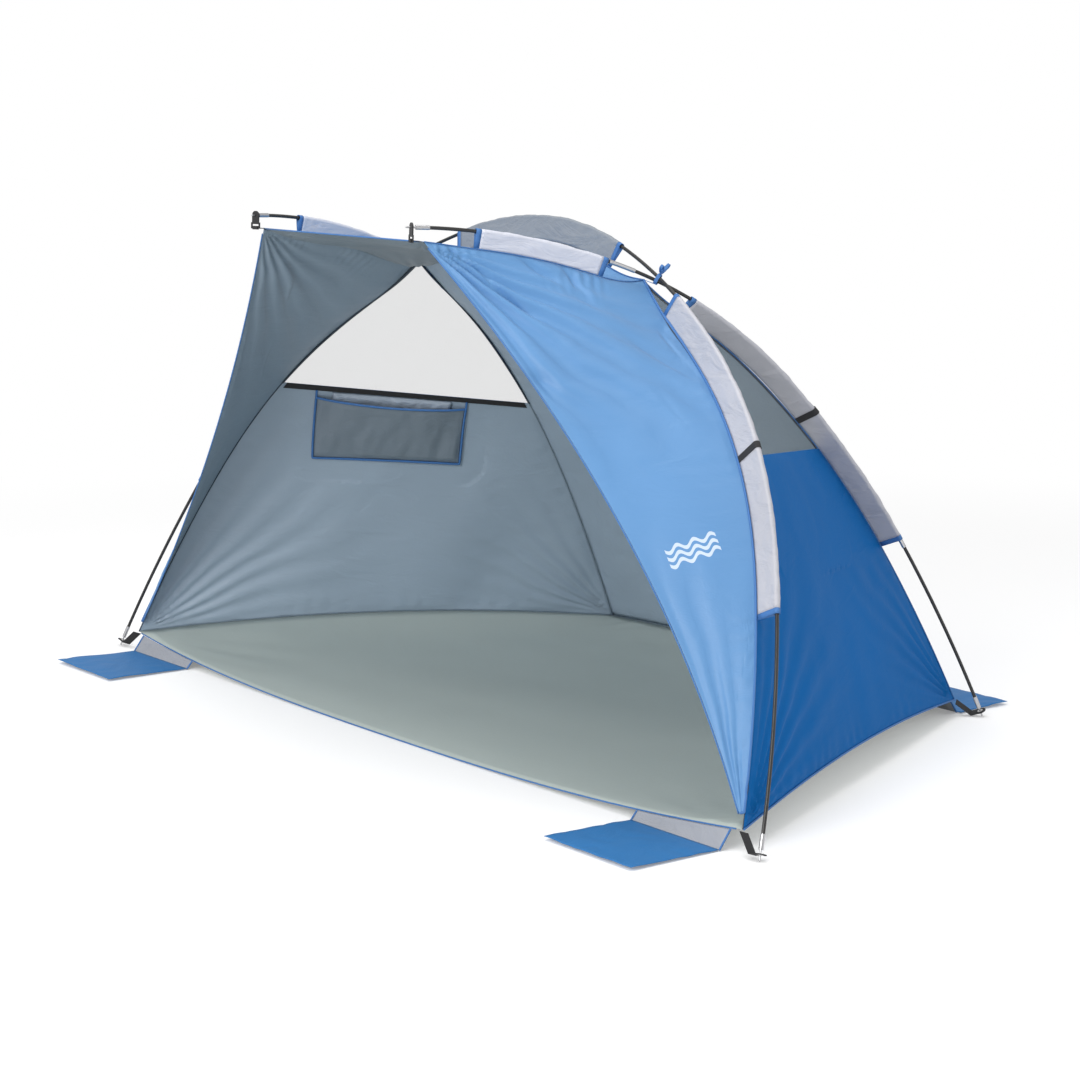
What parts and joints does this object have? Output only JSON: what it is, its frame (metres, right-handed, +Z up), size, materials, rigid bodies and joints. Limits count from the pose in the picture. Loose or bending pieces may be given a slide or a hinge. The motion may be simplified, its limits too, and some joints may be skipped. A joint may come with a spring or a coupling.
{
  "type": "beach shelter",
  "caption": "Pitched half-dome beach shelter on a hoop pole and side poles, with an open front, mesh side windows, inside pockets and sand flaps.",
  "frame": {"origin": "on the ground under the middle of the whole outline, flaps included", "axes": "+Z up, -Y out of the open front, +X to the right-hand side seen from the front"},
  "size_m": [2.5514, 1.5968, 1.1878],
  "materials": {
    "pole_fibreglass": "pultruded fibreglass, satin",
    "pole_metal": "satin metal tube",
    "elastic_cord": "braided elastic cord",
    "canopy_fabric": "coated polyester, blue outside and slate grey inside",
    "wall_fabric": "coated polyester, blue outside and silver grey inside",
    "window_mesh": "fine mesh",
    "floor_sheet": "woven polyethylene sheet",
    "blue_binding": "woven binding tape",
    "silver_fabric": "silver coated polyester",
    "black_webbing": "woven webbing",
    "eyelet_metal": "plated steel",
    "pocket_fabric": "coated polyester, grey",
    "black_plastic": "moulded plastic",
    "flap_fabric": "coated polyester, blue"
  },
  "bodies": {
    "shelter": {"hoop_section_1": "pole_fibreglass", "hoop_section_2": "pole_fibreglass", "hoop_section_3": "pole_fibreglass", "hoop_section_4": "pole_fibreglass", "hoop_section_5": "pole_fibreglass", "hoop_section_6": "pole_fibreglass", "hoop_section_7": "pole_fibreglass", "left_side_section_1": "pole_fibreglass", "left_side_section_2": "pole_fibreglass", "left_side_section_3": "pole_fibreglass", "left_side_section_4": "pole_fibreglass", "right_side_section_1": "pole_fibreglass", "right_side_section_2": "pole_fibreglass", "right_side_section_3": "pole_fibreglass", "right_side_section_4": "pole_fibreglass", "hoop_ferrules": "pole_metal", "side_pole_ferrules": "pole_metal", "pole_tips": "pole_metal", "shock_cords": "elastic_cord", "roof_panel": "canopy_fabric", "left_wing": "canopy_fabric", "right_wing": "canopy_fabric", "left_side_wall": "wall_fabric", "right_side_wall": "wall_fabric", "left_window_mesh": "window_mesh", "right_window_mesh": "window_mesh", "rear_wall": "wall_fabric", "floor_sheet": "floor_sheet", "hoop_top_sleeve": "silver_fabric", "left_hoop_sleeve": "silver_fabric", "right_hoop_sleeve": "silver_fabric", "left_front_sleeve": "silver_fabric", "right_front_sleeve": "silver_fabric", "left_rear_sleeve": "silver_fabric", "right_rear_sleeve": "silver_fabric", "sleeve_end_bindings": "blue_binding", "canopy_edge_bindings": "blue_binding", "floor_edge_binding": "blue_binding", "left_sill_tape": "black_webbing", "right_sill_tape": "black_webbing", "left_pocket": "pocket_fabric", "right_pocket": "pocket_fabric", "stowed_window_flaps": "silver_fabric", "left_apex_tie": "blue_binding", "right_apex_tie": "blue_binding", "front_corner_straps": "black_webbing", "rear_corner_straps": "black_webbing", "strap_eyelets": "eyelet_metal", "top_webbing_loops": "black_webbing", "sand_flap_risers": "silver_fabric"},
    "front_left_sand_flap": {"front_left_sand_flap": "flap_fabric"},
    "front_right_sand_flap": {"front_right_sand_flap": "flap_fabric"},
    "rear_left_sand_flap": {"rear_left_sand_flap": "flap_fabric"},
    "rear_right_sand_flap": {"rear_right_sand_flap": "flap_fabric"},
    "left_top_tab": {"left_top_tab": "black_plastic"},
    "right_top_tab": {"right_top_tab": "black_plastic"}
  },
  "joints": [
    {"name": "front_left_sand_flap_fold", "type": "hinge", "parent": "shelter", "child": "front_left_sand_flap", "pos_m": [-1.029, -0.5761, 0.0015], "axis": [-1, 0, 0], "range_deg": [0, 85]},
    {"name": "front_right_sand_flap_fold", "type": "hinge", "parent": "shelter", "child": "front_right_sand_flap", "pos_m": [1.029, -0.5761, 0.0015], "axis": [-1, 0, 0], "range_deg": [0, 85]},
    {"name": "rear_left_sand_flap_fold", "type": "hinge", "parent": "shelter", "child": "rear_left_sand_flap", "pos_m": [-0.50618, 0.6381, 0.0015], "axis": [1, 0, 0], "range_deg": [0, 85]},
    {"name": "rear_right_sand_flap_fold", "type": "hinge", "parent": "shelter", "child": "rear_right_sand_flap", "pos_m": [0.50618, 0.6381, 0.0015], "axis": [1, 0, 0], "range_deg": [0, 85]},
    {"name": "left_top_tab_swivel", "type": "hinge", "parent": "shelter", "child": "left_top_tab", "pos_m": [-0.31108, -0.70283, 1.17777], "axis": [0.2665, -0.963, 0.0401], "range_deg": [-5, 5]},
    {"name": "right_top_tab_swivel", "type": "hinge", "parent": "shelter", "child": "right_top_tab", "pos_m": [0.31108, -0.70283, 1.17777], "axis": [-0.2665, -0.963, 0.0401], "range_deg": [-5, 5]}
  ]
}
